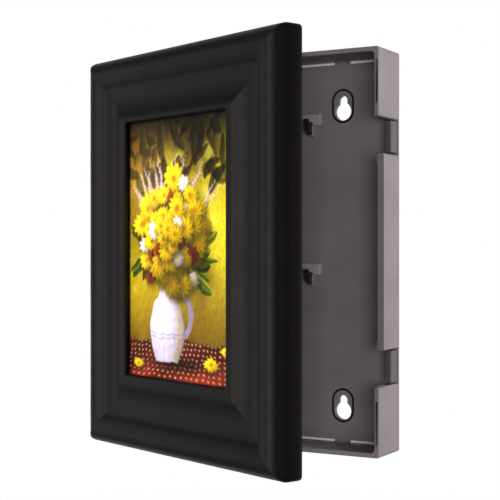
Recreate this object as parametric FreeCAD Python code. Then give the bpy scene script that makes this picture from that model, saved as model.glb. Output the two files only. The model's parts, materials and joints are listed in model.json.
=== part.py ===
import FreeCAD, Part
import math
import os

V = FreeCAD.Vector
os.makedirs("parts", exist_ok=True)

# Wall box
case_w = 176.0
case_h = 226.0
case_d = 29.0
case_corner_r = 1.5
cavity_corner_r = 2.4
wall_rim = 2.6
wall_root = 3.0
floor_t = 3.0
floor_fillet = 1.8
rim_bevel = 0.4

# Lowered middle of the side walls, with its thicker inner pad
side_t = 3.8
mid_drop = 7.0
pad_past_notch = 9.5

# Side notches
notch_from_end = 48.45
notch_h = 19.9
notch_depth = 18.0
notch_foot_t = 1.5
notch_chamfer = 0.7
block_inset = 0.35
block_gap_up = 0.9
block_gap_down = 1.3
block_edge = 0.9

# Keyholes for the wall screws, each inside a groove
keyhole_from_side = 33.7
keyhole_from_top = 28.5
keyhole_from_bottom = 24.3
ring_w = 13.6
ring_h = 19.4
groove_w = 0.8
groove_t = 1.3
key_entry_r = 5.2
key_slot_w = 5.6
key_entry_drop = 3.2
key_slot_rise = 5.9
scallop_r = 6.0
scallop_depth = 1.0
scallop_len = 18.0

# Key hooks
hook_pitch = 35.0
hook_from_top = 35.8
hook_row_gap = 87.3
plate_w = 12.4
plate_h = 7.0
plate_t = 3.2
plate_edge = 0.8
arm_w = 3.2
arm_t = 1.9
arm_drop = 1.6
arm_reach = 9.6
arm_tip_rise = 1.7
arm_tip_t = 1.4
arm_edge = 0.4
rib_w = 2.2
rib_drop = 10.0
rib_foot_t = 2.6
rib_slope = 3.6
rib_short = 0.8
peg_w = 6.0
peg_h = 4.0
peg_back = 0.5

# Door and its frame moulding
door_over = 3.0
door_w = case_w + 2 * door_over
door_h = case_h + 2 * door_over
door_gap = 1.0
door_corner_r = 3.0
side_flat = 7.0
crown_t = 17.0
crown_in = 8.6
bull_w = 18.0
crease_t = 14.1
valley_t = 13.0
valley_end_t = 14.75
lip_t = 16.2
lip_least = 2.5
lip_round = 0.7

# Middle points of the moulding's arcs, as shares of the arcs' own width and height
edge_mid_in = 0.317
edge_mid_rise = 0.72
fall_mid_in = 0.52
fall_mid_drop = 0.26
valley_share = 0.8
valley_low_in = 0.38
lip_mid_in = 0.1
lip_mid_rise = 0.58

# Window, print and backing
window_w = 95.0
window_h = 146.5
window_rise = 2.0
sheet_w = 102.4
sheet_h = 152.4
sheet_play = 0.3
lip_shoulder = 14.2
pane_t = 2.0
print_t = 0.3
backing_t = 3.0
ledge_w = 11.0
back_recess_r = 4.0

# Hinge
axis_in = 3.2
axis_depth = 12.0
pin_r = 1.5
pin_play = 0.06
barrel_r = 3.2
lug_end_play = 0.3
boss_h = 5.5
boss_wall = 1.0
boss_front = 1.7
pin_short = 0.5
pin_bevel = 0.3
arm_plate_t = 4.5
brace_w = 3.0
foot_w = 18.0
foot_t = 2.4
lug_screw_x = 11.5
lug_screw_z = 5.2
open_now = 21.5

# Screws
screw_r = 1.3
screw_head_r = 2.6
screw_cone = 1.4
lug_screw_len = 9.0
pivot_r = 1.4
pivot_play = 0.06
pivot_head_r = 2.7
pivot_head_t = 1.5
pivot_head_bevel = 0.5
pivot_depth = 3.5
lug_cross = 2.6
pivot_cross = 2.8
cross_slot = 0.55
cross_depth = 0.8

# Turn buttons
button_t = 1.6
button_w = 6.4
button_len = 9.6
button_seat = 5.4
button_gap = 0.1
button_shoulder_w = 4.6
button_tip_w = 3.2
button_tip_bevel = 0.8

# Magnets, steel strips and bumpers
strip_t = 1.2
strip_len = 24.0
strip_depth = 6.0
strip_from_end = 19.0
magnet_w = 4.0
magnet_t = 3.5
magnet_proud = 0.5
bumper_from_side = 28.0
bumper_r = 2.3
bumper_bevel = 0.4
bumper_seat = 0.6
bumper_proud = 0.95

# Overlap where solids join, and how far a cut runs past a face
sink = 0.5
past = 1.0

# Shared positions
half_w = case_w / 2
half_h = case_h / 2
rim_y = -case_d
floor_y = -floor_t
axis_x = -half_w + axis_in
axis_y = rim_y + axis_depth
back_y = rim_y - door_gap
ledge_n = lip_shoulder - pane_t - print_t - backing_t
side_border = (door_w - window_w) / 2
top_border = (door_h - window_h) / 2 - window_rise
bottom_border = (door_h - window_h) / 2 + window_rise
lip_in = min(side_border, top_border) - lip_least
rail_w = max(side_border, bottom_border) + lip_least
pocket_w = sheet_w + 2 * sheet_play
pocket_h = sheet_h + 2 * sheet_play
notch_z = half_h - notch_from_end
pad_half_h = notch_z + notch_h / 2 + pad_past_notch
keyhole_x = half_w - keyhole_from_side
keyhole_z_up = half_h - keyhole_from_top
keyhole_z_low = keyhole_from_bottom - half_h
hook_z_up = half_h - hook_from_top
hook_z_low = hook_z_up - hook_row_gap
strip_z = half_h - strip_from_end
bumper_x = half_w - bumper_from_side
hook_rows = (("up", hook_z_up), ("low", hook_z_low))
hook_columns = (("left", -hook_pitch), ("mid", 0.0), ("right", hook_pitch))
sides = (("left", -1), ("right", 1))
levels = (("upper", 1), ("lower", -1))


def box(x0, x1, y0, y1, z0, z1):
    return Part.makeBox(x1 - x0, y1 - y0, z1 - z0, V(x0, y0, z0))


def both(z_mid, z_half):
    return z_mid - z_half, z_mid + z_half


def rod_y(x, z, r, y0, y1):
    return Part.makeCylinder(r, y1 - y0, V(x, y0, z), V(0, 1, 0))


def rod_z(x, y, r, z0, z1):
    return Part.makeCylinder(r, z1 - z0, V(x, y, z0), V(0, 0, 1))


def face_from(points):
    return Part.Face(Part.makePolygon([V(*p) for p in points + points[:1]]))


def edges_along(shape, axis):
    found = []
    for e in shape.Edges:
        ends = [v.Point for v in e.Vertexes]
        if len(ends) == 2:
            d = ends[1].sub(ends[0])
            if abs(abs(d.dot(axis)) - d.Length) < 1e-6:
                found.append(e)
    return found


def rounded_slab(w, h, r, y0, y1, z_mid=0.0):
    slab = box(-w / 2, w / 2, y0, y1, *both(z_mid, h / 2))
    return slab.makeFillet(r, edges_along(slab, V(0, 1, 0)))


def obround_y(w, h, y0, y1, x, z):
    r = w / 2
    straight = h / 2 - r
    body = box(x - r, x + r, y0, y1, *both(z, straight))
    for s in (-1, 1):
        body = body.fuse(rod_y(x, z + s * straight, r, y0, y1))
    return body.removeSplitter()


def save(name, shape):
    solid = shape.removeSplitter()
    if len(solid.Solids) == 1:
        solid = solid.Solids[0]
    solid.exportStep("parts/" + name + ".step")


# Tray: drafted walls, rounded floor corners, notches, keyholes and hook seats
def cavity():
    w0, h0 = half_w - wall_rim, half_h - wall_rim
    w1, h1 = half_w - wall_root, half_h - wall_root
    hollow = Part.makeWedge(-w0, rim_y, -h0, -h1, -w1, w0, floor_y, h0, h1, w1)
    slanted = [e for e in hollow.Edges if abs(e.Vertexes[0].Y - e.Vertexes[1].Y) > 1]
    hollow = hollow.makeFillet(cavity_corner_r, slanted)
    low = [e for e in hollow.Edges if all(abs(v.Y - floor_y) < 1e-4 for v in e.Vertexes)]
    return hollow.makeFillet(floor_fillet, low)


def side_pad(sx):
    x = sorted((sx * (half_w - side_t), sx * (half_w - wall_rim + sink)))
    return box(x[0], x[1], rim_y + mid_drop, floor_y + sink, -pad_half_h, pad_half_h)


def hinge_bosses(sx, sz):
    x_in = half_w - axis_in - pin_r - boss_wall
    x = sorted((sx * x_in, sx * (half_w - wall_rim + sink)))
    out = None
    for edge, grow in ((notch_h / 2, 1), (-notch_h / 2, -1)):
        z = sorted((sz * notch_z + edge, sz * notch_z + edge + grow * boss_h))
        y0 = axis_y - pin_r - boss_front
        b = box(x[0], x[1], y0, floor_y + sink, z[0], z[1])
        out = b if out is None else out.fuse(b)
    return out


def notch_cut(sx, sz):
    x = sorted((sx * (half_w - side_t), sx * (half_w + past)))
    z0, z1 = both(sz * notch_z, notch_h / 2)
    cut = box(x[0], x[1], rim_y - past, -notch_foot_t, z0, z1)
    for z_end, s in ((z0, -1), (z1, 1)):
        c = notch_chamfer
        outer = sx * (half_w + 0.02)
        pts = [(outer, rim_y - past, z_end - s * 0.01), (outer, rim_y - past, z_end + s * c),
               (outer - sx * c, rim_y - past, z_end - s * 0.01)]
        cut = cut.fuse(face_from(pts).extrude(V(0, case_d + past - notch_foot_t, 0)))
    return cut


def keyhole(x, z):
    y0 = floor_y - past
    top = z + key_slot_rise - key_slot_w / 2
    hole = rod_y(x, z - key_entry_drop, key_entry_r, y0, past)
    hole = hole.fuse(box(x - key_slot_w / 2, x + key_slot_w / 2, y0, past, z - key_entry_drop, top))
    hole = hole.fuse(rod_y(x, top, key_slot_w / 2, y0, past))
    pad = obround_y(ring_w - 2 * groove_w, ring_h - 2 * groove_w, y0, past, x, z)
    return obround_y(ring_w, ring_h, y0, floor_y + groove_t, x, z).cut(pad).fuse(hole)


def scallop(x, sz):
    reach = half_h - wall_root + scallop_depth
    y0 = floor_y - scallop_len
    groove = rod_y(x, sz * (reach - scallop_r), scallop_r, y0, floor_y)
    sink = wall_root
    low, high = reach - 2 * scallop_depth - sink, reach + sink
    ramp = [(x, y0 - sink, sz * low), (x, y0 + sink, sz * high), (x, floor_y, sz * high),
            (x, floor_y, sz * low)]
    keep = face_from(ramp).extrude(V(2 * scallop_r, 0, 0))
    keep.translate(V(-scallop_r, 0, 0))
    return groove.common(keep)


def tray():
    body = rounded_slab(case_w, case_h, case_corner_r, rim_y, 0)
    front = [e for e in body.Edges if all(abs(v.Y - rim_y) < 1e-6 for v in e.Vertexes)]
    body = body.makeChamfer(rim_bevel, front)
    body = body.cut(cavity())
    for _, sx in sides:
        body = body.fuse(side_pad(sx))
        for _, sz in levels:
            body = body.fuse(hinge_bosses(sx, sz))
    body = body.removeSplitter()
    for _, sx in sides:
        x = sorted((sx * (half_w - side_t - past), sx * (half_w + past)))
        drop = box(x[0], x[1], rim_y - past, rim_y + mid_drop, -notch_z, notch_z)
        body = body.cut(drop)
        for _, sz in levels:
            body = body.cut(notch_cut(sx, sz))
        for z in (keyhole_z_up, keyhole_z_low):
            body = body.cut(keyhole(sx * keyhole_x, z))
        for _, sz in levels:
            body = body.cut(scallop(sx * keyhole_x, sz))
    for _, z in hook_rows:
        for _, x in hook_columns:
            seat = box(x - peg_w / 2, x + peg_w / 2, floor_y - past, past, *both(z, peg_h / 2))
            body = body.cut(seat)
    for _, sz in levels:
        body = body.cut(rod_z(axis_x, axis_y, pin_r, *both(sz * notch_z, notch_h / 2 + boss_h + past)))
        body = body.cut(strike(sz))
    return body


# Steel strip set edgewise into the rim
def strike(sz):
    x0 = half_w - wall_rim / 2 - strip_t / 2
    z0, z1 = both(sz * strip_z, strip_len / 2)
    return box(x0, x0 + strip_t, rim_y, rim_y + strip_depth, z0, z1)


# Block that closes the foot of each notch
def notch_block(sx, sz):
    x_in, x_out = half_w - side_t, half_w - block_inset
    z0 = sz * notch_z - notch_h / 2 + block_gap_down
    z1 = sz * notch_z + notch_h / 2 - block_gap_up
    y0 = rim_y + notch_depth
    x = sorted((sx * x_in, sx * x_out))
    block = box(x[0], x[1], y0, -notch_foot_t, z0, z1)
    rim = [e for e in edges_along(block, V(0, 0, 1)) if abs(e.Vertexes[0].Y - y0) < 1e-6]
    outer = [e for e in rim if abs(abs(e.Vertexes[0].X) - x_out) < 1e-6]
    return block.makeFillet(block_edge, outer)


# Hook: chamfered plate, arm with an upturned tip, rib under the arm, peg through the floor
def hook(x, z):
    plate = box(x - plate_w / 2, x + plate_w / 2, floor_y - plate_t, floor_y, *both(z, plate_h / 2))
    front = floor_y - plate_t
    rim = [e for e in plate.Edges if all(abs(v.Y - front) < 1e-6 for v in e.Vertexes)]
    body = plate.makeChamfer(plate_edge, rim)
    top = z - arm_drop
    tip = floor_y - arm_reach
    peak, under, e = top + arm_tip_rise, top - arm_t, arm_edge
    profile = [(0, floor_y - sink, top), (0, tip + arm_tip_t + e, top), (0, tip + arm_tip_t, top + e),
               (0, tip + arm_tip_t - e / 2, peak), (0, tip + e, peak), (0, tip, peak - e),
               (0, tip, under + e), (0, tip + e, under), (0, floor_y - sink, under)]
    arm = face_from(profile).extrude(V(arm_w, 0, 0))
    arm.translate(V(x - arm_w / 2, 0, 0))
    foot = z - rib_drop
    rib = [(0, floor_y, top - sink), (0, floor_y, foot), (0, floor_y - rib_foot_t, foot + e),
           (0, tip + 2 * rib_short, foot + rib_slope), (0, tip + rib_short, under + e / 2)]
    web = face_from(rib).extrude(V(rib_w, 0, 0))
    web.translate(V(x - rib_w / 2, 0, 0))
    peg = box(x - peg_w / 2, x + peg_w / 2, floor_y - sink, -peg_back, *both(z, peg_h / 2))
    return body.fuse([arm, web, peg])


# Frame moulding: bullnose, crease, hollow valley and raised lip, mitred at the corners
def rail_profile():
    def pt(u, n):
        return V(0, back_y - n, u)

    def arc(*points):
        return Part.Arc(*[pt(*p) for p in points]).toShape()

    span = lip_in - bull_w
    fall_in = bull_w - crown_in
    valley_end = bull_w + valley_share * span
    shoulder = (edge_mid_in * crown_in, side_flat + edge_mid_rise * (crown_t - side_flat))
    fall = (crown_in + fall_mid_in * fall_in, crown_t - fall_mid_drop * (crown_t - crease_t))
    valley = (bull_w + valley_low_in * span, valley_t)
    rise = (valley_end + lip_mid_in * span, valley_end_t + lip_mid_rise * (lip_t - valley_end_t))
    edges = [arc((0, side_flat), shoulder, (crown_in, crown_t)),
             arc((crown_in, crown_t), fall, (bull_w, crease_t)),
             arc((bull_w, crease_t), valley, (valley_end, valley_end_t)),
             arc((valley_end, valley_end_t), rise, (lip_in, lip_t)),
             Part.makeLine(pt(lip_in, lip_t), pt(rail_w, lip_t)),
             Part.makeLine(pt(rail_w, lip_t), pt(rail_w, 0)), Part.makeLine(pt(rail_w, 0), pt(0, 0)),
             Part.makeLine(pt(0, 0), pt(0, side_flat))]
    return Part.Face(Part.Wire(edges))


def rail(length, cross):
    bar = rail_profile().extrude(V(length, 0, 0))
    bar.translate(V(-length / 2, 0, -cross / 2))
    wedge = [(-length / 2, 0, -cross / 2), (length / 2, 0, -cross / 2),
             (length / 2 - rail_w, 0, -cross / 2 + rail_w), (-length / 2 + rail_w, 0, -cross / 2 + rail_w)]
    keep = face_from(wedge).extrude(V(0, 2 * crown_t, 0))
    keep.translate(V(0, back_y - 1.5 * crown_t, 0))
    return bar.common(keep)


def button_places():
    out = []
    edge_x = pocket_w / 2 + button_seat
    edge_z = pocket_h / 2 + button_seat
    out.append(("top", 0.0, window_rise + edge_z, 180.0))
    out.append(("bottom", 0.0, window_rise - edge_z, 0.0))
    out.append(("left", -edge_x, window_rise, 90.0))
    out.append(("right", edge_x, window_rise, -90.0))
    return out


def lug_screw_places():
    out = []
    for _, sz in levels:
        for dz in (-lug_screw_z, lug_screw_z):
            out.append((axis_x - barrel_r + lug_screw_x, sz * notch_z + dz))
    return out


def frame():
    body = None
    for turn in range(4):
        length, cross = (door_w, door_h) if turn % 2 == 0 else (door_h, door_w)
        bar = rail(length, cross)
        bar.rotate(V(0, 0, 0), V(0, 1, 0), 90.0 * turn)
        body = bar if body is None else body.fuse(bar)
    body = body.removeSplitter()
    body = body.common(rounded_slab(door_w, door_h, door_corner_r, back_y - 2 * crown_t, back_y))
    window = box(-window_w / 2, window_w / 2, back_y - 2 * crown_t, back_y + past,
                 *both(window_rise, window_h / 2))
    body = body.cut(window)
    front = back_y - lip_t
    mouth = [e for e in body.Edges if all(abs(v.Y - front) < 1e-4 for v in e.Vertexes)
             and all(abs(v.X) < window_w / 2 + 0.1 for v in e.Vertexes)
             and all(abs(v.Z - window_rise) < window_h / 2 + 0.1 for v in e.Vertexes)]
    body = body.makeFillet(lip_round, mouth)
    pocket = box(-pocket_w / 2, pocket_w / 2, back_y - lip_shoulder, back_y + past,
                 *both(window_rise, pocket_h / 2))
    body = body.cut(pocket)
    recess = rounded_slab(pocket_w + 2 * ledge_w, pocket_h + 2 * ledge_w, back_recess_r,
                          back_y - ledge_n, back_y + past, window_rise)
    body = body.cut(recess)
    for _, sz in levels:
        body = body.cut(lug_foot(sz))
        body = body.cut(magnet(sz))
        body = body.cut(bumper(sz))
    for x, z in lug_screw_places():
        body = body.cut(rod_y(x, z, screw_r, back_y - lug_screw_len, back_y))
    for _, x, z, _ in button_places():
        body = body.cut(rod_y(x, z, pivot_r, back_y - ledge_n - pivot_depth, back_y - ledge_n))
    return body


def sheet(front_n, thick):
    y0 = back_y - front_n
    return box(-sheet_w / 2, sheet_w / 2, y0, y0 + thick, *both(window_rise, sheet_h / 2))


# Hinge lug: foot let into the back of the frame, arm through the notch, barrel on the pin
def lug_foot(sz):
    x0 = axis_x - barrel_r
    half = notch_h / 2 - lug_end_play
    return box(x0, x0 + foot_w, back_y - foot_t, back_y, *both(sz * notch_z, half))


def lug(sz):
    half = notch_h / 2 - lug_end_play
    z0, z1 = both(sz * notch_z, half)
    x0 = axis_x - barrel_r
    inner = x0 + arm_plate_t
    arm = box(x0, inner, back_y - sink, axis_y, z0, z1)
    brace = [(inner - sink, back_y - sink, z0), (inner + brace_w, back_y - sink, z0),
             (inner + brace_w, back_y, z0), (inner, back_y + brace_w, z0),
             (inner - sink, back_y + brace_w, z0)]
    web = face_from(brace).extrude(V(0, 0, z1 - z0))
    body = lug_foot(sz).fuse([arm, web, rod_z(axis_x, axis_y, barrel_r, z0, z1)])
    body = body.cut(rod_z(axis_x, axis_y, pin_r + pin_play, z0 - past, z1 + past))
    for x, z in lug_screw_places():
        if abs(z - sz * notch_z) < notch_h / 2:
            body = body.cut(countersunk(x, z))
    return body


def hinge_pin(sz):
    z0, z1 = both(sz * notch_z, notch_h / 2 + boss_h - pin_short)
    pin = rod_z(axis_x, axis_y, pin_r, z0, z1)
    return pin.makeChamfer(pin_bevel, [e for e in pin.Edges if len(e.Vertexes) == 1])


def countersunk(x, z):
    head = Part.makeCone(screw_r, screw_head_r, screw_cone, V(x, back_y - screw_cone, z), V(0, 1, 0))
    return head.fuse(rod_y(x, z, screw_r, back_y - lug_screw_len, back_y - screw_cone + sink))


def cross_recess(x, z, y_face, size):
    out = None
    for a, b in ((size, cross_slot), (cross_slot, size)):
        bar = box(x - a / 2, x + a / 2, y_face - cross_depth, y_face + past, *both(z, b / 2))
        out = bar if out is None else out.fuse(bar)
    return out


def lug_screws():
    all_screws = []
    for x, z in lug_screw_places():
        all_screws.append(countersunk(x, z).cut(cross_recess(x, z, back_y, lug_cross)))
    return Part.makeCompound(all_screws)


# Turn button with one rounded pivot end and a blunt tip, and its pan head screw
def turn_button(x, z, angle):
    y0 = back_y - ledge_n + button_gap
    y1 = y0 + button_t
    r = button_w / 2
    shoulder, tip = button_shoulder_w / 2, button_tip_w / 2
    body = rod_y(0, 0, r, y0, y1)
    tongue = [(-r, y0, 0), (r, y0, 0), (shoulder, y0, button_len - button_tip_bevel),
              (tip, y0, button_len), (-tip, y0, button_len),
              (-shoulder, y0, button_len - button_tip_bevel)]
    body = body.fuse(face_from(tongue).extrude(V(0, button_t, 0)))
    body = body.cut(rod_y(0, 0, pivot_r + pivot_play, y0 - past, y1 + past))
    body.rotate(V(0, 0, 0), V(0, 1, 0), angle)
    body.translate(V(x, 0, z))
    return body


def pivot_screws():
    all_screws = []
    y1 = back_y - ledge_n + 2 * button_gap + button_t
    for _, x, z, _ in button_places():
        head = rod_y(x, z, pivot_head_r, y1, y1 + pivot_head_t)
        rim = [e for e in head.Edges if len(e.Vertexes) == 1 and e.Vertexes[0].Y > y1 + sink]
        head = head.makeChamfer(pivot_head_bevel, rim)
        shank = rod_y(x, z, pivot_r, back_y - ledge_n - pivot_depth, y1 + sink)
        screw = head.fuse(shank).cut(cross_recess(x, z, y1 + pivot_head_t, pivot_cross))
        all_screws.append(screw)
    return Part.makeCompound(all_screws)


# Bar magnet let into the frame opposite its steel strip, and the rubber bumper
def magnet(sz):
    x0 = half_w - wall_rim / 2 - magnet_w / 2
    y1 = back_y + magnet_proud
    return box(x0, x0 + magnet_w, y1 - magnet_t, y1, *both(sz * strip_z, strip_len / 2))


def bumper(sz):
    z = sz * (half_h - wall_rim / 2)
    disc = rod_y(bumper_x, z, bumper_r, back_y - bumper_seat, back_y + bumper_proud)
    rim = [e for e in disc.Edges if len(e.Vertexes) == 1 and e.Vertexes[0].Y > back_y]
    return disc.makeChamfer(bumper_bevel, rim)


# Fixed body
save("tray", tray())
for row, z in hook_rows:
    for column, x in hook_columns:
        save("hook_" + row + "_" + column, hook(x, z))
for side, sx in sides:
    for level, sz in levels:
        save("notch_block_" + side + "_" + level, notch_block(sx, sz))
for level, sz in levels:
    save("strike_" + level, strike(sz))
    save("hinge_pin_" + level, hinge_pin(sz))

# Door body, turned open about the hinge
door_nodes = [("frame", frame()),
              ("pane", sheet(lip_shoulder, pane_t)),
              ("print", sheet(lip_shoulder - pane_t, print_t)),
              ("backing", sheet(lip_shoulder - pane_t - print_t, backing_t)),
              ("lug_screws", lug_screws()),
              ("pivot_screws", pivot_screws())]
for level, sz in levels:
    door_nodes.append(("lug_" + level, lug(sz)))
    door_nodes.append(("magnet_" + level, magnet(sz)))
    door_nodes.append(("bumper_" + level, bumper(sz)))
for name, x, z, angle in button_places():
    door_nodes.append(("turn_button_" + name, turn_button(x, z, angle)))
for name, shape in door_nodes:
    shape.rotate(V(axis_x, axis_y, 0), V(0, 0, 1), -open_now)
    save(name, shape)
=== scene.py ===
import json
import math

import bmesh
import bpy
import numpy as np
from mathutils import Matrix, Vector


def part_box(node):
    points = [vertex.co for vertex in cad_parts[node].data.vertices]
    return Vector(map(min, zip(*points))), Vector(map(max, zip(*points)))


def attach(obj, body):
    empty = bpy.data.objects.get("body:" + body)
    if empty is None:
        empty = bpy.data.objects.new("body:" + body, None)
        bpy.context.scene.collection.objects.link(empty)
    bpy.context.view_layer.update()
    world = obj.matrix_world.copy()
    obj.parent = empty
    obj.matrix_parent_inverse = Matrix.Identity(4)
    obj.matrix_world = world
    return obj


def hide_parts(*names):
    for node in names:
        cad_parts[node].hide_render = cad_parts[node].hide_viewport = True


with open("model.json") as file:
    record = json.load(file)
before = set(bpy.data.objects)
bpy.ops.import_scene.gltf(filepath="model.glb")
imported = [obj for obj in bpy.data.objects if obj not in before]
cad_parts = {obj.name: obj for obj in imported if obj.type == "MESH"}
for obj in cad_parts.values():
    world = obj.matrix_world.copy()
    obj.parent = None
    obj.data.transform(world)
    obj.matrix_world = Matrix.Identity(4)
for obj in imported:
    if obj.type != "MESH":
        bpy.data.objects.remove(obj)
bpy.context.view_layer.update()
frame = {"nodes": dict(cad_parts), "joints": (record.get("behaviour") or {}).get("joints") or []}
nodes = frame["nodes"]
MM = 0.001

# Sizes of the door, in millimetres, with the door closed
tray_lo, tray_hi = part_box("tray")
CASE_W = (tray_hi.x - tray_lo.x) / MM
CASE_H = (tray_hi.z - tray_lo.z) / MM
RIM_Y = tray_lo.y / MM
DOOR_OVER = 3.0
DOOR_W = CASE_W + 2 * DOOR_OVER
DOOR_H = CASE_H + 2 * DOOR_OVER
DOOR_GAP = 1.0
BACK_Y = RIM_Y - DOOR_GAP
SHARP_DEG = 38
CORNER_R = 3.0
INNER_CORNER_R = 0.3
WINDOW_W = 95.0
WINDOW_H = 146.5
WINDOW_RISE = 2.0
LIP_T = 16.2
LIP_ROUND = 1.75
LIP_LEAST = 2.5
LIP_SHOULDER = 14.2
SHOULDER_BEVEL_W = 0.15
SHOULDER_BEVEL_N = 0.14
LEDGE_N = 8.9
POCKET_W = 103.0
POCKET_H = 153.0
RECESS_W = 125.0
RECESS_H = 175.0
RECESS_R = 4.0
RECESS_BEVEL = 0.3
POCKET_PAST_BACK = 1.0
POCKET_PLAY = 0.02
SHEET_W = 102.4
SHEET_H = 152.4
PRINT_N = 12.2
PANE_GAP = 0.05
PRINT_T = 0.3

# Sizes of the tray, in millimetres
WALL_RIM = 2.6
WALL_ROOT = 3.0
KEYHOLE_IN = 33.7
KEYHOLE_FROM_TOP = 28.5
KEYHOLE_FROM_BOTTOM = 24.3
KEYHOLE_UP = CASE_H / 2 - KEYHOLE_FROM_TOP
KEYHOLE_LOW = KEYHOLE_FROM_BOTTOM - CASE_H / 2
RING_W = 13.6
RING_H = 19.4
GROOVE_W = 0.8


# The turn from the closed door to the door as it stands at rest
def door_turn():
    hinge = next(joint for joint in frame["joints"] if joint["name"] == "door_hinge")
    about = Matrix.Translation(hinge["pos_m"])
    opened = math.radians(min(hinge["range_deg"]))
    return about @ Matrix.Rotation(opened, 4, "Z") @ about.inverted()


DOOR = door_turn()


# Mesh helpers
def new_object(name, verts, faces, turn=None):
    mesh = bpy.data.meshes.new(name)
    mesh.from_pydata([tuple(c * MM for c in v) for v in verts], [], faces)
    if turn is not None:
        mesh.transform(turn)
    mesh.update()
    obj = bpy.data.objects.new(name, mesh)
    bpy.context.scene.collection.objects.link(obj)
    return obj


def clean(obj, sharp_deg=None):
    bm = bmesh.new()
    bm.from_mesh(obj.data)
    bmesh.ops.remove_doubles(bm, verts=bm.verts, dist=1e-6)
    bmesh.ops.recalc_face_normals(bm, faces=bm.faces)
    bm.to_mesh(obj.data)
    bm.free()
    if sharp_deg is not None:
        for p in obj.data.polygons:
            p.use_smooth = True
        obj.data.set_sharp_from_angle(angle=math.radians(sharp_deg))


# Extra points along a straight side, as shares of its length, closer together towards the corners
SIDE_SHARES = (0.012, 0.04, 0.12, 0.3, 0.5, 0.7, 0.88, 0.96, 0.988)


def rounded_loop(half_w, half_h, mid_z, r, steps=7):
    r = max(0.02, min(r, half_w - 0.1, half_h - 0.1))
    corners = ((1, 1, 0.0), (-1, 1, 90.0), (-1, -1, 180.0), (1, -1, 270.0))
    arcs = []
    for sx, sz, start in corners:
        cx, cz = sx * (half_w - r), sz * (half_h - r)
        arc = []
        for k in range(steps + 1):
            a = math.radians(start + 90.0 * k / steps)
            arc.append((cx + r * math.cos(a), cz + r * math.sin(a)))
        arcs.append(arc)
    points = []
    for i, arc in enumerate(arcs):
        points.extend(arc)
        x0, z0 = arc[-1]
        x1, z1 = arcs[(i + 1) % 4][0]
        points.extend((x0 + (x1 - x0) * share, z0 + (z1 - z0) * share) for share in SIDE_SHARES)
    return [(x, z + mid_z) for x, z in points]


# A closed tube through rings, each given as half width, half height, middle, corner radius and depth
def ring_mesh(name, rings, turn):
    loops = []
    for half_w, half_h, mid_z, r, n in rings:
        loops.append([(x, BACK_Y - n, z) for x, z in rounded_loop(half_w, half_h, mid_z, r)])
    verts = [point for loop in loops for point in loop]
    size, count = len(loops[0]), len(loops)
    faces = []
    for i in range(count):
        a, b = i * size, ((i + 1) % count) * size
        for k in range(size):
            m = (k + 1) % size
            faces.append((a + k, a + m, b + m, b + k))
    return new_object(name, verts, faces, turn)


def within_half_turn(angle, other):
    while angle - other > math.pi:
        angle -= 2 * math.pi
    while angle - other < -math.pi:
        angle += 2 * math.pi
    return angle


def arc_through(a, b, c, steps):
    (ax, ay), (bx, by), (cx, cy) = a, b, c
    d = 2 * (ax * (by - cy) + bx * (cy - ay) + cx * (ay - by))
    a2, b2, c2 = ax * ax + ay * ay, bx * bx + by * by, cx * cx + cy * cy
    ux = (a2 * (by - cy) + b2 * (cy - ay) + c2 * (ay - by)) / d
    uy = (a2 * (cx - bx) + b2 * (ax - cx) + c2 * (bx - ax)) / d
    r = math.hypot(ax - ux, ay - uy)
    t0, t1, t2 = (math.atan2(p[1] - uy, p[0] - ux) for p in (a, b, c))
    t1 = within_half_turn(t1, t0)
    t2 = within_half_turn(t2, t1)
    turns = [t0 + (t2 - t0) * k / steps for k in range(steps + 1)]
    return [(ux + r * math.cos(t), uy + r * math.sin(t)) for t in turns]


# Outline of the frame moulding, as (distance in from the door's edge, height over its back)
def moulding_points():
    side_flat, crown_t, crown_in, bull_w, crease_t = 7.0, 17.0, 8.6, 18.0, 14.1
    valley_t, valley_end_t = 13.0, 14.75
    lip_in = min((DOOR_W - WINDOW_W) / 2, (DOOR_H - WINDOW_H) / 2 - WINDOW_RISE) - LIP_LEAST
    span = lip_in - bull_w
    valley_end = bull_w + 0.8 * span
    shoulder = (0.317 * crown_in, side_flat + 0.72 * (crown_t - side_flat))
    fall = (crown_in + 0.52 * (bull_w - crown_in), crown_t - 0.26 * (crown_t - crease_t))
    valley = (bull_w + 0.38 * span, valley_t)
    rise = (valley_end + 0.1 * span, valley_end_t + 0.58 * (LIP_T - valley_end_t))
    points = [(0.35, 0.0), (0.1, 0.1), (0.0, 0.35), (0.0, 3.5)]
    points += arc_through((0.0, side_flat), shoulder, (crown_in, crown_t), 16)
    points += arc_through((crown_in, crown_t), fall, (bull_w, crease_t), 12)[1:]
    points += arc_through((bull_w, crease_t), valley, (valley_end, valley_end_t), 14)[1:]
    points += arc_through((valley_end, valley_end_t), rise, (lip_in, LIP_T), 6)[1:]
    return [(max(u, 0.0), n) for u, n in points]


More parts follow.
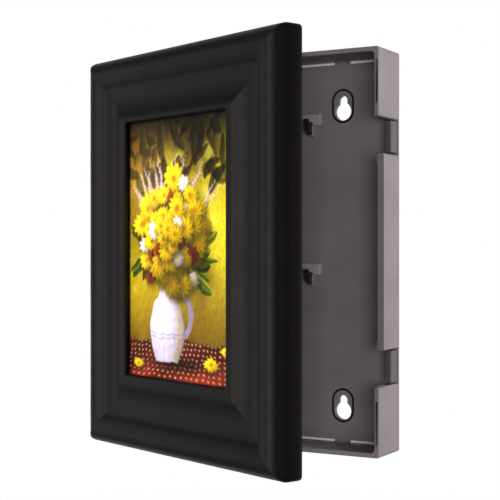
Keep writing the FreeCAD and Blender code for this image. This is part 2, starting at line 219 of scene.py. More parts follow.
# The moulding swept round the door, then the lip, the pane's pocket and the recess behind it
def frame_piece(lip_steps=8):
    rings = []
    for u, n in moulding_points():
        rings.append((DOOR_W / 2 - u, DOOR_H / 2 - u, 0.0, max(CORNER_R - u, INNER_CORNER_R), n))

    def window_ring(half_w, half_h, r, n):
        rings.append((half_w, half_h, WINDOW_RISE, r, n))

    half_w, half_h = WINDOW_W / 2, WINDOW_H / 2
    for k in range(lip_steps + 1):
        a = math.radians(90.0 * k / lip_steps)
        out = LIP_ROUND * (1 - math.sin(a))
        window_ring(half_w + out, half_h + out, INNER_CORNER_R + out, LIP_T - LIP_ROUND * (1 - math.cos(a)))
    window_ring(half_w, half_h, INNER_CORNER_R, LIP_SHOULDER + SHOULDER_BEVEL_N)
    window_ring(half_w + SHOULDER_BEVEL_W, half_h + SHOULDER_BEVEL_W, INNER_CORNER_R, LIP_SHOULDER)
    window_ring(POCKET_W / 2, POCKET_H / 2, INNER_CORNER_R, LIP_SHOULDER)
    window_ring(POCKET_W / 2, POCKET_H / 2, INNER_CORNER_R, LEDGE_N)
    window_ring(RECESS_W / 2, RECESS_H / 2, RECESS_R, LEDGE_N)
    window_ring(RECESS_W / 2, RECESS_H / 2, RECESS_R, RECESS_BEVEL)
    window_ring(RECESS_W / 2 + RECESS_BEVEL, RECESS_H / 2 + RECESS_BEVEL, RECESS_R + RECESS_BEVEL, 0.0)
    body = ring_mesh("moulded_frame", rings, DOOR)
    clean(body)
    pockets = [door_block(name) for name in ("lug_upper", "lug_lower", "magnet_upper", "magnet_lower")]
    pockets += [door_rod(spot, deep) for spot, deep in door_rods()]
    carve(body, pockets)
    clean(body, SHARP_DEG)
    return body


# Boxes and rods of the pieces let into the back of the door, in the closed door's own axes
def closed_points(name):
    back = DOOR.inverted()
    return np.array([tuple(back @ v.co) for v in nodes[name].data.vertices]) / MM


def door_block(name, play=POCKET_PLAY):
    points = closed_points(name)
    x0, y0, z0 = points.min(axis=0) - play
    x1, _, z1 = points.max(axis=0) + play
    y1 = BACK_Y + POCKET_PAST_BACK
    verts = [(x, y, z) for x in (x0, x1) for y in (y0, y1) for z in (z0, z1)]
    faces = [(0, 1, 3, 2), (4, 6, 7, 5), (0, 4, 5, 1), (2, 3, 7, 6), (0, 2, 6, 4), (1, 5, 7, 3)]
    return new_object("pocket", verts, faces, DOOR)


# The points of one node split into its separate screws, by how far apart they stand
def clusters(name, reach=4.0):
    points = closed_points(name)
    groups = []
    for point in points[np.lexsort((points[:, 0], points[:, 2].round(0)))]:
        home = next((g for g in groups if np.hypot(*(np.mean(g, axis=0) - point)[[0, 2]]) < reach), None)
        if home is None:
            groups.append([point])
        else:
            home.append(point)
    return [np.array(g) for g in groups]


# What the door's back is bored for, each bore as a share of the piece's greatest width
BORES = {"bumper_upper": 1.0, "bumper_lower": 1.0, "lug_screws": 1.3 / 2.6, "pivot_screws": 1.4 / 2.7}


def door_rods():
    found = []
    for name, share in BORES.items():
        for group in clusters(name):
            lo, hi = group.min(axis=0), group.max(axis=0)
            spot = ((lo[0] + hi[0]) / 2, (lo[2] + hi[2]) / 2, share * (hi[0] - lo[0]) / 2)
            found.append((spot, lo[1]))
    return found


def door_rod(spot, deep, sides=32, play=POCKET_PLAY):
    x, z, r = spot
    turns = [2 * math.pi * k / sides for k in range(sides)]
    ring = [(x + (r + play) * math.cos(t), z + (r + play) * math.sin(t)) for t in turns]
    verts = [(a, deep - play, b) for a, b in ring] + [(a, BACK_Y + POCKET_PAST_BACK, b) for a, b in ring]
    faces = [tuple(range(sides)), tuple(range(2 * sides - 1, sides - 1, -1))]
    faces += [(k, k + sides, (k + 1) % sides + sides, (k + 1) % sides) for k in range(sides)]
    return new_object("pocket", verts, faces, DOOR)


def carve(body, cutters):
    for cutter in cutters:
        clean(cutter)
        step = body.modifiers.new("pocket", "BOOLEAN")
        step.operation, step.solver, step.object = "DIFFERENCE", "EXACT", cutter
    held = body.evaluated_get(bpy.context.evaluated_depsgraph_get())
    shape = bpy.data.meshes.new_from_object(held)
    body.modifiers.clear()
    body.data = shape
    for cutter in cutters:
        bpy.data.objects.remove(cutter)


# A made-up still life, painted in code: a pale jug of garden flowers on a spotted cloth
def smooth(lo, hi, v):
    t = np.clip((v - lo) / (hi - lo), 0.0, 1.0)
    return t * t * (3 - 2 * t)


def ripple(rng, x, y, slow, fast, count=14):
    field = np.zeros_like(x)
    for _ in range(count):
        f, a, phase = rng.uniform(slow, fast), rng.uniform(0, 2 * math.pi), rng.uniform(0, 2 * math.pi)
        field += np.sin(2 * math.pi * f * (x * math.cos(a) + y * math.sin(a)) + phase)
    return field / math.sqrt(count)


class Painting:
    def __init__(self, cols, rows, rng):
        self.top = rows / cols
        x, y = np.meshgrid(np.linspace(0.0, 1.0, cols), np.linspace(0.0, self.top, rows))
        self.x = x + 0.0045 * ripple(rng, x, y, 4.0, 14.0)
        self.y = y + 0.0045 * ripple(rng, x, y, 4.0, 14.0)
        self.img = np.zeros((rows, cols, 3))

    def blend(self, alpha, colour):
        a = np.clip(alpha, 0, 1)[..., None]
        self.img = self.img * (1 - a) + np.asarray(colour) * a

    def disc(self, cx, cy, r, soft, colour, strength=1.0, squash=1.0):
        d = np.hypot(self.x - cx, (self.y - cy) / squash)
        self.blend(strength * (1 - smooth(r - soft, r + soft, d)), colour)

    def glow(self, cx, cy, rx, ry, colour, strength):
        d = ((self.x - cx) / rx) ** 2 + ((self.y - cy) / ry) ** 2
        self.blend(strength * np.exp(-d), colour)

    def leaf(self, cx, cy, length, width, turn, colour, strength=0.95):
        ca, sa = math.cos(turn), math.sin(turn)
        a = (self.x - cx) * ca + (self.y - cy) * sa
        b = -(self.x - cx) * sa + (self.y - cy) * ca + 0.6 * width * np.sin(2.6 * a / length)
        half = width * np.sin(math.pi * np.clip(a / length, 0, 1)) ** 0.75
        inside = (a > 0) & (a < length)
        side = np.where(b > 0, 1.25, 0.7) * (0.8 + 0.5 * np.clip(a / length, 0, 1))
        shaded = np.clip(np.asarray(colour) * side[..., None], 0, 1)
        self.blend(strength * (1 - smooth(half * 0.7, half + 0.006, np.abs(b))) * inside, shaded)

    def flower(self, cx, cy, r, petals, colour, heart, turn, squash, light=1.0, soft=0.008):
        dx, dy = self.x - cx, (self.y - cy) / squash
        d, a = np.hypot(dx, dy), np.arctan2(dy, dx) + turn
        self.disc(cx + 0.012, cy - 0.02, r * 0.95, 0.035, (0.16, 0.12, 0.03), 0.55, squash)
        sun = 1 + 0.2 * (dy - dx) / r
        for layer, size, tone in ((0, 1.0, 0.74), (1, 0.8, 0.92), (2, 0.56, 1.1)):
            wave = np.abs(np.cos(petals * (a + 0.6 * layer * math.pi / petals) / 2))
            edge = size * r * (0.62 + 0.38 * wave ** 0.7)
            mask = 1 - smooth(edge - soft, edge + soft, d)
            depth = (0.66 + 0.34 * wave) * (0.82 + 0.25 * smooth(0, r, d))
            tint = light * tone * depth * np.clip(sun, 0.6, 1.35)
            self.blend(mask, np.clip(np.asarray(colour) * tint[..., None], 0, 1))
        self.disc(cx, cy, r * 0.22, soft, heart, 0.85, squash)


def garden(p, rng):
    levels = (0.0, 0.22, 0.42, 0.62, 0.78, 0.88, 1.0)
    colours = np.array(((0.2, 0.12, 0.05), (0.4, 0.3, 0.08), (0.6, 0.52, 0.1), (0.66, 0.6, 0.13),
                        (0.46, 0.38, 0.09), (0.17, 0.13, 0.05), (0.05, 0.035, 0.02)))
    sway = 0.05 * ripple(rng, p.x, p.y, 0.4, 1.6)
    for channel in range(3):
        p.img[..., channel] = np.interp(p.y / p.top + sway, levels, colours[:, channel])
    p.glow(0.0, 1.05, 0.3, 0.45, (0.42, 0.24, 0.07), 0.8)
    p.glow(1.0, 0.85, 0.36, 0.5, (0.78, 0.74, 0.2), 0.75)
    p.glow(0.1, 0.5, 0.3, 0.3, (0.66, 0.56, 0.1), 0.6)
    for _ in range(30):
        cx, cy, r = rng.uniform(0, 1), rng.uniform(0.2, p.top * 0.85), rng.uniform(0.04, 0.13)
        tone = ((0.82, 0.76, 0.22), (0.5, 0.5, 0.1), (0.34, 0.22, 0.06), (0.7, 0.6, 0.14))[rng.integers(4)]
        p.glow(cx, cy, r, r * rng.uniform(0.8, 1.5), tone, rng.uniform(0.25, 0.6))
    for _ in range(26):
        cx, cy = rng.uniform(-0.05, 1.05), rng.uniform(0.5, p.top * 0.88)
        p.disc(cx, cy, rng.uniform(0.02, 0.05), 0.016, (0.93, 0.88, 0.45), rng.uniform(0.08, 0.34))
    for _ in range(60):
        cx, cy = rng.uniform(-0.1, 1.1), p.top - 0.32 * rng.random() ** 1.4
        tone = ((0.05, 0.04, 0.02), (0.1, 0.07, 0.03), (0.2, 0.17, 0.05))[rng.integers(3)]
        p.leaf(cx, cy, rng.uniform(0.1, 0.22), rng.uniform(0.02, 0.04), rng.uniform(3.5, 6.0), tone, 0.7)
    p.glow(0.5, p.top + 0.06, 1.2, 0.14, (0.03, 0.02, 0.012), 0.95)


def cloth(p, edge):
    depth = np.clip((edge - p.y) / edge, 0, 1)
    wave = 0.012 * np.sin(9 * p.x + 0.6)
    mask = 1 - smooth(edge - 0.01, edge + 0.01, p.y + wave)
    fold = 1 + 0.3 * np.sin(13 * p.x + 6 * depth + 1.5 * np.sin(5 * p.x)) * (0.4 + 0.6 * depth)
    base = np.array((0.36, 0.12, 0.07)) * (0.62 + 0.6 * depth[..., None]) * fold[..., None]
    p.blend(mask, base)
    scale = 30 - 12 * depth
    gx, gy = (p.x - 0.5) * scale, depth * 9
    ox = gx + 0.5 * (np.floor(gy) % 2)
    dot = np.hypot(ox - np.round(ox), (gy - np.floor(gy) - 0.5) * 0.9)
    p.blend(mask * (1 - smooth(0.12, 0.26, dot)) * 0.7, (0.85, 0.72, 0.55))


def jug(p, cx, foot, height, width):
    t = (p.y - foot) / height
    rise = np.clip(t, 0, 1)
    half = width * (0.6 + 0.4 * np.sin(math.pi * np.clip(rise * 1.3, 0, 1)) - 0.22 * smooth(0.7, 0.95, rise)
                    + 0.08 * smooth(0.92, 1.0, rise))
    across = (p.x - cx) / half
    for k in range(60):
        a = -1.25 + 2.6 * k / 59
        hx = cx + width * 0.84 + 0.085 * math.cos(a)
        hy = foot + height * 0.56 + 0.11 * math.sin(a)
        p.disc(hx, hy, 0.019, 0.006, (0.5, 0.45, 0.52))
        p.disc(hx - 0.005, hy + 0.004, 0.008, 0.008, (0.8, 0.77, 0.84), 0.7)
    mask = (1 - smooth(0.96, 1.02, np.abs(across))) * smooth(-0.012, 0.012, t)
    mask = mask * (1 - smooth(0.985, 1.01, t))
    light = 0.28 + 0.56 * np.sqrt(np.clip(1 - (across + 0.34) ** 2 / 1.85, 0, 1))
    light = light * (0.86 + 0.14 * smooth(0, 0.5, rise)) * (1 - 0.35 * smooth(0.8, 1.0, rise))
    p.glow(cx + 0.07, foot - 0.005, width * 1.5, 0.035, (0.07, 0.025, 0.02), 0.85)
    p.blend(mask, np.clip(np.stack([light, 0.95 * light, 1.05 * light], axis=-1), 0, 1))
    p.blend(mask * 0.5 * np.exp(-((across - 0.75) / 0.2) ** 2), (0.62, 0.52, 0.3))
    shine = np.exp(-((across + 0.5) / 0.1) ** 2) * smooth(0.2, 0.45, t) * (1 - smooth(0.62, 0.8, t))
    p.blend(mask * 0.6 * shine, (1.0, 0.98, 0.96))
    for level in (0.27, 0.32):
        p.blend(mask * 0.5 * np.exp(-((t - level - 0.03 * across ** 2) / 0.008) ** 2), (0.4, 0.36, 0.55))


def bouquet(p, rng, cx, cy, rx, ry):
    greens = ((0.2, 0.25, 0.06), (0.32, 0.36, 0.09), (0.12, 0.15, 0.04), (0.45, 0.46, 0.12))
    for _ in range(90):
        a = rng.uniform(-0.6, math.pi + 0.6)
        k = rng.uniform(0.35, 1.05)
        lx, ly = cx + rx * k * math.cos(a) * 0.8, cy - 0.08 + ry * k * math.sin(a) * 0.8
        length, width = rng.uniform(0.1, 0.22), rng.uniform(0.014, 0.032)
        p.leaf(lx, ly, length, width, a + rng.uniform(-0.8, 0.8), greens[rng.integers(4)])
    for _ in range(13):
        a = rng.uniform(0.25, math.pi - 0.25)
        sx, sy = cx + rx * 0.9 * math.cos(a), cy + ry * 0.95 * math.sin(a)
        lean = rng.uniform(-0.4, 0.4) + math.cos(a)
        for k in range(18):
            jump = rng.uniform(-0.009, 0.009)
            p.disc(sx + 0.008 * k * lean + jump, sy + 0.009 * k, 0.0125 - 0.0005 * k, 0.006,
                   ((0.62, 0.52, 0.66), (0.8, 0.72, 0.8))[k % 2], 0.8)
    heads = []
    count, golden_turn = 58, 2.39996
    for i in range(count):
        k = math.sqrt((i + 0.5) / count)
        a = i * golden_turn
        lift = 0.03 * math.sin(3.1 * i)
        heads.append((cx + rx * k * math.cos(a), cy + lift + ry * k * math.sin(a), k, i))
    heads.sort(key=lambda h: -h[2])
    for hx, hy, k, i in heads:
        turn, squash = rng.uniform(0, 6.28), rng.uniform(0.66, 1.0)
        r = rng.uniform(0.045, 0.085)
        light = 1.08 - 0.42 * smooth(-0.3, 1.0, (hx - cx) / rx - (hy - cy) / ry) - 0.12 * (1 - k)
        soft = 0.007 + 0.008 * k
        kind = i % 7
        if kind == 3:
            p.flower(hx, hy, r * 0.85, 9, (0.97, 0.93, 0.92), (0.8, 0.6, 0.15), turn, squash, light, soft)
        elif kind == 5:
            p.flower(hx, hy, r * 0.8, 7, (0.5, 0.2, 0.08), (0.16, 0.07, 0.03), turn, squash, light, soft)
        else:
            warm = rng.uniform(0.82, 1.0)
            p.flower(hx, hy, r * 1.15, 10 + i % 4, (1.0 * warm, 0.82 * warm, 0.13), (0.62, 0.38, 0.05),
                     turn, squash, light, soft)


# Colours are mixed as seen on a screen and handed on as linear light
def paint_still_life(cols, rows):
    rng = np.random.default_rng(11)
    p = Painting(cols, rows, rng)
    garden(p, rng)
    cloth(p, 0.24)
    jug(p, 0.4, 0.12, 0.46, 0.165)
    bouquet(p, rng, 0.45, 0.82, 0.31, 0.3)
    for x0, y0, r, turn in ((0.8, 0.13, 0.07, 0.3), (0.92, 0.2, 0.045, 1.2), (0.12, 0.1, 0.05, 2.0)):
        p.flower(x0, y0, r, 11, (0.98, 0.8, 0.14), (0.6, 0.36, 0.05), turn, 0.55)
    p.glow(0.22, 1.12, 0.22, 0.22, (1.0, 0.86, 0.5), 0.22)
    p.img *= (1 - 0.3 * smooth(0.4, 0.8, np.hypot((p.x - 0.5), (p.y - 0.75) * 0.6)))[..., None]
    brush = 1 + 0.045 * ripple(rng, p.x, p.y, 14.0, 45.0, 24)
    img = np.clip(p.img * brush[..., None] + rng.normal(0.0, 0.008, p.img.shape[:2])[..., None], 0.0, 1.0)
    grey = img.mean(axis=-1, keepdims=True)
    img = np.clip(grey + 1.12 * (img - grey), 0.0, 1.0)
    return np.where(img <= 0.04045, img / 12.92, ((img + 0.055) / 1.055) ** 2.4)


# The picture's sheet, its face held just off the pane so that the two never lie in one plane
def print_piece(cols=200, rows=298):
    colours = paint_still_life(cols, rows)
    verts, faces, tones = [], [], []
    front, back = BACK_Y - PRINT_N + PANE_GAP, BACK_Y - PRINT_N + PRINT_T
    for j in range(rows):
        for i in range(cols):
            verts.append((-SHEET_W / 2 + SHEET_W * i / (cols - 1), front,
                          WINDOW_RISE - SHEET_H / 2 + SHEET_H * j / (rows - 1)))
            tones.append(colours[j, i])
    for j in range(rows - 1):
        for i in range(cols - 1):
            a = j * cols + i
            faces.append((a, a + 1, a + cols + 1, a + cols))
    rim = list(range(cols))
    rim += [j * cols + cols - 1 for j in range(1, rows)]
    rim += [(rows - 1) * cols + i for i in range(cols - 2, -1, -1)]
    rim += [j * cols for j in range(rows - 2, 0, -1)]
    base = len(verts)
    for k in rim:
        x, _, z = verts[k]
        verts.append((x, back, z))
        tones.append(np.array((0.8, 0.8, 0.78)))
    for k in range(len(rim)):
        m = (k + 1) % len(rim)
        faces.append((rim[m], rim[k], base + k, base + m))
    faces.append(tuple(base + k for k in range(len(rim))))
    obj = new_object("still_life_print", verts, faces, DOOR)
    layer = obj.data.color_attributes.new("paint", "FLOAT_COLOR", "POINT")
    flat = np.ones((len(verts), 4), dtype=np.float32)
    flat[:, :3] = np.array(tones)
    layer.data.foreach_set("color", flat.ravel())
    return obj


# Materials
def material(name):
    mat = bpy.data.materials.new(name)
    mat.use_nodes = True
    tree = mat.node_tree
    shader = tree.nodes["Principled BSDF"]
    return mat, tree, shader


def place(tree):
    return tree.nodes.new("ShaderNodeTexCoord").outputs["Object"]


def noise(tree, where, scale, detail=3.0, rough=0.5):
    tex = tree.nodes.new("ShaderNodeTexNoise")
    tex.inputs["Scale"].default_value = scale
    tex.inputs["Detail"].default_value = detail
    tex.inputs["Roughness"].default_value = rough
    tree.links.new(where, tex.inputs["Vector"])
    return tex.outputs["Fac"]


def ramp(tree, value, low, high, at=(0.3, 0.7)):
    node = tree.nodes.new("ShaderNodeValToRGB")
    node.color_ramp.elements[0].position, node.color_ramp.elements[1].position = at
    node.color_ramp.elements[0].color = (*low, 1.0)
    node.color_ramp.elements[1].color = (*high, 1.0)
    tree.links.new(value, node.inputs["Fac"])
    return node.outputs["Color"]


def spread(tree, value, low, high):
    node = tree.nodes.new("ShaderNodeMapRange")
    node.inputs["From Min"].default_value = 0.3
    node.inputs["From Max"].default_value = 0.7
    node.inputs["To Min"].default_value = low
    node.inputs["To Max"].default_value = high
    tree.links.new(value, node.inputs["Value"])
    return node.outputs["Result"]


def bump(tree, value, depth_mm, shader, edge_mm=0.0):
    node = tree.nodes.new("ShaderNodeBump")
    node.inputs["Distance"].default_value = depth_mm * MM
    tree.links.new(value, node.inputs["Height"])
    if edge_mm:
        soft = tree.nodes.new("ShaderNodeBevel")
        soft.samples = 6
        soft.inputs["Radius"].default_value = edge_mm * MM
        tree.links.new(soft.outputs["Normal"], node.inputs["Normal"])
    tree.links.new(node.outputs["Normal"], shader.inputs["Normal"])


def moulded(name, low, high, rough, grain_mm=0.5, depth_mm=0.02, edge_mm=0.25):
    mat, tree, shader = material(name)
    at = place(tree)
    tree.links.new(ramp(tree, noise(tree, at, 38.0, 4.0), low, high), shader.inputs["Base Color"])
    varied = spread(tree, noise(tree, at, 160.0), rough - 0.05, rough + 0.05)
    tree.links.new(varied, shader.inputs["Roughness"])
    bump(tree, noise(tree, at, 1000.0 / grain_mm, 2.0), depth_mm, shader, edge_mm)
    return mat


def metal(name, low, high, rough, lines=(1.0, 1.0, 1.0), edge_mm=0.15):
    mat, tree, shader = material(name)
    at = place(tree)
    turn = tree.nodes.new("ShaderNodeMapping")
    turn.inputs["Scale"].default_value = lines
    tree.links.new(at, turn.inputs["Vector"])
    streaks = noise(tree, turn.outputs["Vector"], 900.0, 3.0)
    tree.links.new(ramp(tree, noise(tree, at, 120.0), low, high), shader.inputs["Base Color"])
    tree.links.new(spread(tree, streaks, rough - 0.08, rough + 0.08), shader.inputs["Roughness"])
    shader.inputs["Metallic"].default_value = 1.0
    bump(tree, streaks, 0.01, shader, edge_mm)
    return mat


def lacquer():
    mat, tree, shader = material("frame_finish")
    at = place(tree)
    browns = ramp(tree, noise(tree, at, 22.0, 5.0), (0.0075, 0.0052, 0.005), (0.0095, 0.0068, 0.0066))
    tree.links.new(browns, shader.inputs["Base Color"])
    tree.links.new(spread(tree, noise(tree, at, 90.0, 4.0), 0.37, 0.43), shader.inputs["Roughness"])
    shader.inputs["Specular IOR Level"].default_value = 0.42
    shader.inputs["Specular Tint"].default_value = (1.0, 0.9, 0.89, 1.0)
    bump(tree, noise(tree, at, 700.0, 2.0), 0.006, shader)
    return mat


def printed_paper():
    mat, tree, shader = material("print_paper")
    paint = tree.nodes.new("ShaderNodeVertexColor")
    paint.layer_name = "paint"
    tree.links.new(paint.outputs["Color"], shader.inputs["Base Color"])
    at = place(tree)
    tree.links.new(spread(tree, noise(tree, at, 400.0), 0.38, 0.5), shader.inputs["Roughness"])
    shader.inputs["Specular IOR Level"].default_value = 0.15
    return mat


def clear_pane():
    mat, tree, shader = material("clear_pane")
    at = place(tree)
    tree.links.new(spread(tree, noise(tree, at, 30.0), 0.02, 0.04), shader.inputs["Roughness"])
    shader.inputs["Base Color"].default_value = (0.05, 0.055, 0.055, 1.0)
    shader.inputs["Specular IOR Level"].default_value = 0.5
    shader.inputs["Alpha"].default_value = 0.04
    return mat


def fibreboard():
    mat, tree, shader = material("backing_board")
    at = place(tree)
    fibres = tree.nodes.new("ShaderNodeMapping")
    fibres.inputs["Scale"].default_value = (1.0, 1.0, 0.25)
    tree.links.new(at, fibres.inputs["Vector"])
    strands = noise(tree, fibres.outputs["Vector"], 900.0, 6.0, 0.7)
    browns = ramp(tree, strands, (0.12, 0.07, 0.035), (0.24, 0.15, 0.08))
    tree.links.new(browns, shader.inputs["Base Color"])
    shader.inputs["Roughness"].default_value = 0.8
    bump(tree, strands, 0.08, shader, 0.2)
    return mat


def rubber():
    mat, tree, shader = material("bumper_rubber")
    at = place(tree)
    greys = ramp(tree, noise(tree, at, 300.0), (0.02, 0.02, 0.02), (0.035, 0.034, 0.033))
    tree.links.new(greys, shader.inputs["Base Color"])
    shader.inputs["Roughness"].default_value = 0.75
    bump(tree, noise(tree, at, 2500.0), 0.02, shader)
    return mat


def ferrite():
    mat, tree, shader = material("magnet_ferrite")
    at = place(tree)
    specks = noise(tree, at, 1500.0, 4.0, 0.6)
    greys = ramp(tree, specks, (0.03, 0.029, 0.03), (0.07, 0.068, 0.066))
    tree.links.new(greys, shader.inputs["Base Color"])
    tree.links.new(spread(tree, specks, 0.4, 0.6), shader.inputs["Roughness"])
    bump(tree, specks, 0.03, shader, 0.2)
    return mat


def maths(tree, operation, a, b=None):
    node = tree.nodes.new("ShaderNodeMath")
    node.operation = operation
    for socket, value in zip(node.inputs, (a, b)):
        if isinstance(value, float):
            socket.default_value = value
        elif value is not None:
            tree.links.new(value, socket)
    return node.outputs["Value"]


def eased(tree, value, start, end, low=0.0, high=1.0):
    node = tree.nodes.new("ShaderNodeMapRange")
    node.interpolation_type = "SMOOTHSTEP"
    node.inputs["From Min"].default_value = start
    node.inputs["From Max"].default_value = end
    node.inputs["To Min"].default_value = low
    node.inputs["To Max"].default_value = high
    tree.links.new(value, node.inputs["Value"])
    return node.outputs["Result"]


# Rises from start to full and, where they are given, falls again from end to gone, all in millimetres
def band(tree, value, start, full, end=None, gone=None):
    rise = eased(tree, value, start * MM, full * MM)
    if end is None:
        return rise
    return maths(tree, "MULTIPLY", rise, eased(tree, value, gone * MM, end * MM))


def tinted(tree, colour, amount, to):
    mix = tree.nodes.new("ShaderNodeMix")
    mix.data_type = "RGBA"
    first, second, mixed = mix.inputs[6], mix.inputs[7], mix.outputs[2]
    second.default_value = (*to, 1.0)
    tree.links.new(amount, mix.inputs["Factor"])
    tree.links.new(colour, first)
    return mixed


def axes_of(tree, at):
    split = tree.nodes.new("ShaderNodeSeparateXYZ")
    tree.links.new(at, split.inputs["Vector"])
    return split.outputs["X"], split.outputs["Y"], split.outputs["Z"]


# Grey mounting plates whose arms are painted near-black as painted shade, told apart by how far forward a
# point lies
def hook_plastic():
    mat, tree, shader = material("hook_plastic")
    at = place(tree)
    plate_front, arm_root = -6.4, -6.9
    y = axes_of(tree, at)[1]
    arm_shade = tree.nodes.new("ShaderNodeMapRange")
    arm_shade.inputs["From Min"].default_value = plate_front * MM
    arm_shade.inputs["From Max"].default_value = arm_root * MM
    tree.links.new(y, arm_shade.inputs["Value"])
    plate = ramp(tree, noise(tree, at, 60.0, 4.0), (0.25, 0.238, 0.242), (0.29, 0.277, 0.281))
    # Painted shade: the arms in front of the plates go near-black
    body = tinted(tree, plate, arm_shade.outputs["Result"], (0.012, 0.011, 0.011))
    tree.links.new(body, shader.inputs["Base Color"])
    tree.links.new(spread(tree, noise(tree, at, 200.0), 0.35, 0.45), shader.inputs["Roughness"])
    bump(tree, noise(tree, at, 1800.0, 2.0), 0.02, shader, 0.25)
    return mat


# Painted shade in the groove round each keyhole, which is a ring with straight sides
def groove_painted_shade(tree, aside, y, z):
    straight, mid = (RING_H - RING_W) / 2, (RING_W - GROOVE_W) / 2
    rings = []
    for level in (KEYHOLE_UP, KEYHOLE_LOW):
        rise = maths(tree, "ABSOLUTE", maths(tree, "SUBTRACT", z, level * MM))
        past = maths(tree, "MAXIMUM", maths(tree, "SUBTRACT", rise, straight * MM), 0.0)
        squares = [maths(tree, "POWER", v, 2.0) for v in (aside, past)]
        from_middle = maths(tree, "POWER", maths(tree, "ADD", *squares), 0.5)
        off_line = maths(tree, "ABSOLUTE", maths(tree, "SUBTRACT", from_middle, mid * MM))
        rings.append(band(tree, off_line, GROOVE_W * 0.95, GROOVE_W * 0.6))
    clear_of_back = band(tree, y, -1.0, -1.4)
    return maths(tree, "MULTIPLY", maths(tree, "MAXIMUM", *rings), clear_of_back)


# Painted highlight: a pale line along the rounded foot of the top and bottom walls, clear of the keyholes'
# scallops
def foot_painted_highlight(tree, across, aside, y, z):
    root = CASE_H / 2 - WALL_ROOT
    side = CASE_W / 2 - WALL_RIM
    line = band(tree, maths(tree, "ABSOLUTE", z), root - 1.6, root - 1.2, root - 0.35, root - 0.1)
    line = maths(tree, "MULTIPLY", line, band(tree, y, -5.0, -4.4, -2.8, -2.4))
    line = maths(tree, "MULTIPLY", line, band(tree, across, -1.0, 0.0, side - 1.0, side))
    return maths(tree, "MULTIPLY", line, band(tree, maths(tree, "ABSOLUTE", aside), 4.6, 5.6))


def tray_plastic():
    mat, tree, shader = material("tray_plastic")
    at = place(tree)
    x, y, z = axes_of(tree, at)
    across = maths(tree, "ABSOLUTE", x)
    aside = maths(tree, "SUBTRACT", across, (CASE_W / 2 - KEYHOLE_IN) * MM)
    body = ramp(tree, noise(tree, at, 38.0, 4.0), (0.158, 0.132, 0.146), (0.182, 0.153, 0.169))
    # Painted shade: the grooves round the keyholes go near-black
    body = tinted(tree, body, groove_painted_shade(tree, aside, y, z), (0.012, 0.01, 0.011))
    # Painted highlight along the foot of the top and bottom walls
    body = tinted(tree, body, foot_painted_highlight(tree, across, aside, y, z), (0.82, 0.76, 0.8))
    tree.links.new(body, shader.inputs["Base Color"])
    tree.links.new(spread(tree, noise(tree, at, 160.0), 0.38, 0.48), shader.inputs["Roughness"])
    bump(tree, noise(tree, at, 2000.0, 2.0), 0.015, shader, 0.25)
    return mat


def dress(name, mat):
    obj = nodes[name]
    if not obj.material_slots:
        obj.data.materials.append(mat)
    for slot in obj.material_slots:
        slot.link = "OBJECT"
        slot.material = mat


LEVELS = ("upper", "lower")
HOOKS = ["hook_" + row + "_" + column for row in ("up", "low") for column in ("left", "mid", "right")]
NOTCH_BLOCKS = ["notch_block_" + side + "_" + level for side in ("left", "right") for level in LEVELS]
STRIKES = ["strike_" + level for level in LEVELS]
HINGE_PINS = ["hinge_pin_" + level for level in LEVELS]

notch_dark = moulded("dark_plastic", (0.06, 0.052, 0.056), (0.075, 0.065, 0.07), 0.4)
lug_black = moulded("lug_plastic", (0.018, 0.017, 0.017), (0.026, 0.024, 0.024), 0.4)
hook_mat = hook_plastic()
steel = metal("bright_steel", (0.62, 0.6, 0.58), (0.75, 0.74, 0.72), 0.3)
strip_steel = metal("strip_steel", (0.16, 0.15, 0.155), (0.2, 0.19, 0.195), 0.5, (1.0, 1.0, 0.2))
button_steel = metal("button_steel", (0.55, 0.53, 0.5), (0.68, 0.66, 0.63), 0.34, (0.3, 1.0, 1.0))
magnet_mat = ferrite()
bumper_mat = rubber()

dress("tray", tray_plastic())
for name in HOOKS:
    dress(name, hook_mat)
for name in NOTCH_BLOCKS:
    dress(name, notch_dark)
for name in STRIKES:
    dress(name, strip_steel)
for name in HINGE_PINS + ["lug_screws", "pivot_screws"]:
    dress(name, steel)
for level in LEVELS:
    dress("lug_" + level, lug_black)
    dress("magnet_" + level, magnet_mat)
    dress("bumper_" + level, bumper_mat)
for side in ("top", "bottom", "left", "right"):
    dress("turn_button_" + side, button_steel)
dress("pane", clear_pane())
dress("backing", fibreboard())

frame_obj = frame_piece()
frame_obj.data.materials.clear()
frame_obj.data.materials.append(lacquer())
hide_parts("frame")
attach(frame_obj, "door")

print_obj = print_piece()
print_obj.data.materials.append(printed_paper())
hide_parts("print")
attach(print_obj, "door")


# Camera at the photograph's viewing angle
AZIMUTH_DEG = 29.41
CAMERA_AT = (0.35277, -0.64205, 0.00116)
LENS_MM = 87.49
SENSOR_MM = 36.0
cam_data = bpy.data.cameras.new("camera")
cam_data.sensor_width = SENSOR_MM
cam_data.lens = LENS_MM
cam_data.clip_end = 50.0
cam = bpy.data.objects.new("camera", cam_data)
cam.location = CAMERA_AT
cam.rotation_euler = (math.pi / 2, 0.0, math.radians(AZIMUTH_DEG))
bpy.context.scene.collection.objects.link(cam)
bpy.context.scene.camera = cam


# Pale studio. The air is white to the eye and lights the object by (azimuth in degrees, strength)
AIR = ((-180, 0.9), (-152, 0.9), (-128, 1.6), (-108, 0.22), (-92, 0.4), (-82, 0.7), (-71, 0.16), (-56, 0.5),
       (-38, 1.7), (-20, 1.2), (0, 0.2), (45, 0.3), (106, 0.15), (150, 0.6), (180, 1.0))


def air_ramp(tree, azimuth):
    part = tree.nodes.new("ShaderNodeMapRange")
    part.inputs["From Min"].default_value = -math.pi
    part.inputs["From Max"].default_value = math.pi
    tree.links.new(azimuth, part.inputs["Value"])
    tone = tree.nodes.new("ShaderNodeValToRGB")
    tone.color_ramp.interpolation = "EASE"
    stops = tone.color_ramp.elements
    for degrees, _ in AIR[1:-1]:
        stops.new((degrees + 180) / 360)
    for stop, (_, strength) in zip(stops, AIR):
        stop.color = (strength, strength, strength, 1.0)
    tree.links.new(part.outputs["Result"], tone.inputs["Fac"])
    return tone.outputs["Color"]


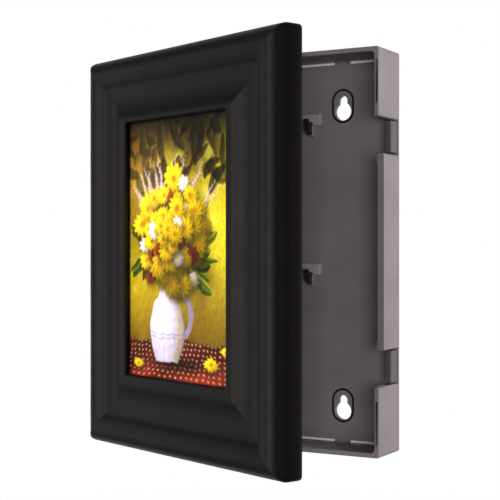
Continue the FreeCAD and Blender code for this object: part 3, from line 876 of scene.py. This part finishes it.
def studio_air():
    world = bpy.data.worlds.new("studio")
    world.use_nodes = True
    tree = world.node_tree
    out = tree.nodes["Background"]
    x, y, z = axes_of(tree, tree.nodes.new("ShaderNodeTexCoord").outputs["Generated"])
    azimuth = maths(tree, "ARCTAN2", x, maths(tree, "MULTIPLY", y, -1.0))
    dim_above = eased(tree, z, 0.05, 0.5, 1.0, 0.25)
    dim_below = eased(tree, z, -0.6, -0.1, 0.3, 1.0)
    lit = maths(tree, "MULTIPLY", maths(tree, "MULTIPLY", air_ramp(tree, azimuth), dim_above), dim_below)
    pick = tree.nodes.new("ShaderNodeMix")
    unseen, seen, strength = pick.inputs[2], pick.inputs[3], pick.outputs[0]
    tree.links.new(tree.nodes.new("ShaderNodeLightPath").outputs["Is Camera Ray"], pick.inputs["Factor"])
    tree.links.new(lit, unseen)
    seen.default_value = 1.0
    tree.links.new(strength, out.inputs["Strength"])
    out.inputs["Color"].default_value = (1.0, 1.0, 1.0, 1.0)
    bpy.context.scene.world = world


# A soft lamp that lights only the given pieces and is never seen itself
def lamp(name, at, size, power, pieces, target=(0.0, -0.03, 0.0)):
    data = bpy.data.lights.new(name, "AREA")
    data.shape = "RECTANGLE"
    data.size, data.size_y = size
    data.energy = power
    obj = bpy.data.objects.new(name, data)
    obj.location = at
    obj.visible_camera = False
    obj.visible_glossy = False
    obj.rotation_euler = (Vector(target) - Vector(at)).to_track_quat("-Z", "Y").to_euler()
    bpy.context.scene.collection.objects.link(obj)
    group = bpy.data.collections.new(name + "_lit")
    for piece in pieces:
        group.objects.link(piece)
    obj.light_linking.receiver_collection = group


# Floor paper. Its radius and height are in millimetres, and its fade is in metres from the middle
FLOOR_R = 2200.0
FLOOR_Z = -550.0
FLOOR_SIDES = 96
FADE_START = 1.0
FADE_END = 2.15


def floor_piece():
    turns = [2 * math.pi * k / FLOOR_SIDES for k in range(FLOOR_SIDES)]
    ring = [(FLOOR_R * math.cos(t), FLOOR_R * math.sin(t), FLOOR_Z) for t in turns]
    obj = new_object("studio_floor", ring, [tuple(range(FLOOR_SIDES))])
    mat, tree, shader = material("floor_paper")
    at = place(tree)
    paper = ramp(tree, noise(tree, at, 3.0), (0.8, 0.8, 0.8), (0.84, 0.84, 0.84))
    tree.links.new(paper, shader.inputs["Base Color"])
    shader.inputs["Roughness"].default_value = 0.9
    length = tree.nodes.new("ShaderNodeVectorMath")
    length.operation = "LENGTH"
    tree.links.new(at, length.inputs[0])
    fade = eased(tree, length.outputs["Value"], FADE_START, FADE_END, 1.0, 0.0)
    tree.links.new(fade, shader.inputs["Alpha"])
    obj.data.materials.append(mat)
    obj.visible_diffuse = False
    obj.visible_glossy = False
    return obj


case_pieces = [nodes[name] for name in ["tray"] + HOOKS + NOTCH_BLOCKS + STRIKES + HINGE_PINS]

studio_air()
lamp("side_lamp", (1.0, 0.08, 0.62), (0.6, 1.2), 23.0, case_pieces)
lamp("front_lamp", (0.75, -1.1, 0.0), (0.7, 0.5), 10.3, case_pieces)
lamp("print_lamp", (-0.5, -1.2, 0.35), (0.8, 0.8), 37.0, [print_obj])
lamp("floor_lamp", (0.0, 0.0, 1.6), (3.0, 3.0), 80.0, [floor_piece()], target=(0.0, 0.0, 0.0))
bpy.context.scene.view_settings.view_transform = "Standard"
